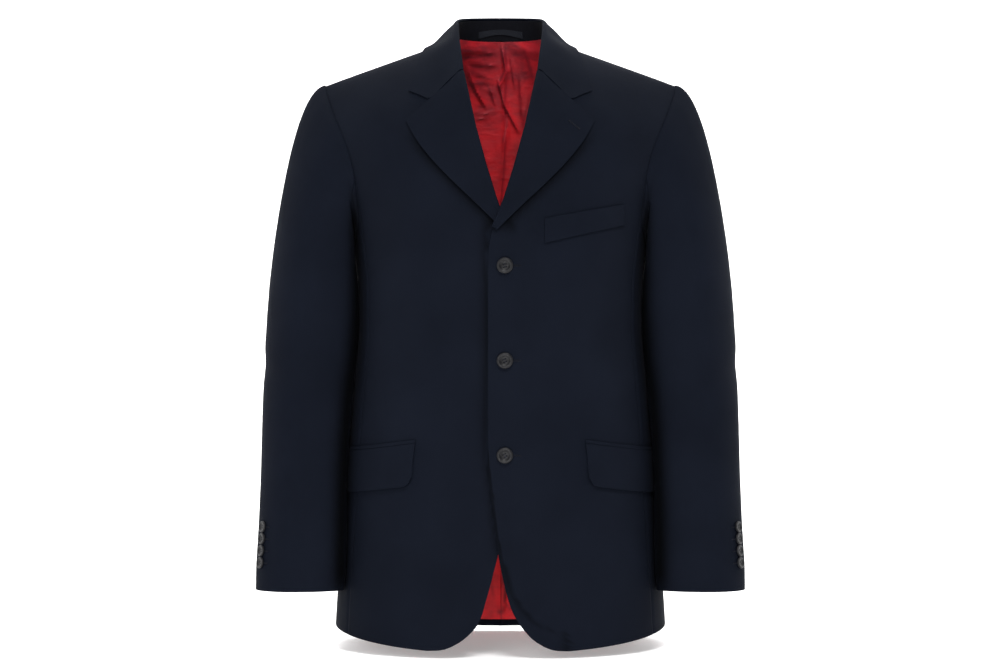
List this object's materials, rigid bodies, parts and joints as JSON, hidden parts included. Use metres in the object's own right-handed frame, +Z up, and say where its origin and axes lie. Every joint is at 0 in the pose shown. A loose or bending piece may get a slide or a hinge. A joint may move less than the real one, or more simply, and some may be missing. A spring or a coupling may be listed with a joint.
{
  "type": "blazer",
  "caption": "Single-breasted blazer with notch lapels, breast welt, flapped hip pockets and a red back lining, in its worn, hollow form.",
  "frame": {"origin": "midway between the shoulders, at the height of the middle of the shoulder seams, where the wearer's neck and shoulders hold the garment", "axes": "+Z up along the wearer's back, -Y towards the front with the buttons, +X towards the wearer's left sleeve"},
  "size_m": [0.6162, 0.3041, 0.8054],
  "materials": {
    "navy_cloth": "fine matt navy wool",
    "dark_trim": "dark undercollar cloth",
    "red_lining": "shot red satin",
    "dark_button": "polished dark plastic"
  },
  "bodies": {
    "root": {"front_left": "navy_cloth", "front_right": "navy_cloth", "back_left": "navy_cloth", "back_right": "navy_cloth", "side_left": "navy_cloth", "side_right": "navy_cloth", "top_sleeve_left": "navy_cloth", "top_sleeve_right": "navy_cloth", "under_sleeve_left": "navy_cloth", "under_sleeve_right": "navy_cloth", "lapel_left": "navy_cloth", "lapel_right": "navy_cloth", "collar_fall": "navy_cloth", "breast_welt": "navy_cloth", "pocket_flap_left": "navy_cloth", "pocket_flap_right": "navy_cloth", "pocket_jet_left": "navy_cloth", "pocket_jet_right": "navy_cloth", "collar_stand": "dark_trim", "hanger_loop": "dark_trim", "back_lining": "red_lining", "front_button_1": "dark_button", "front_button_2": "dark_button", "front_button_3": "dark_button", "cuff_button_left_1": "dark_button", "cuff_button_left_2": "dark_button", "cuff_button_left_3": "dark_button", "cuff_button_left_4": "dark_button", "cuff_button_right_1": "dark_button", "cuff_button_right_2": "dark_button", "cuff_button_right_3": "dark_button", "cuff_button_right_4": "dark_button"}
  },
  "joints": []
}
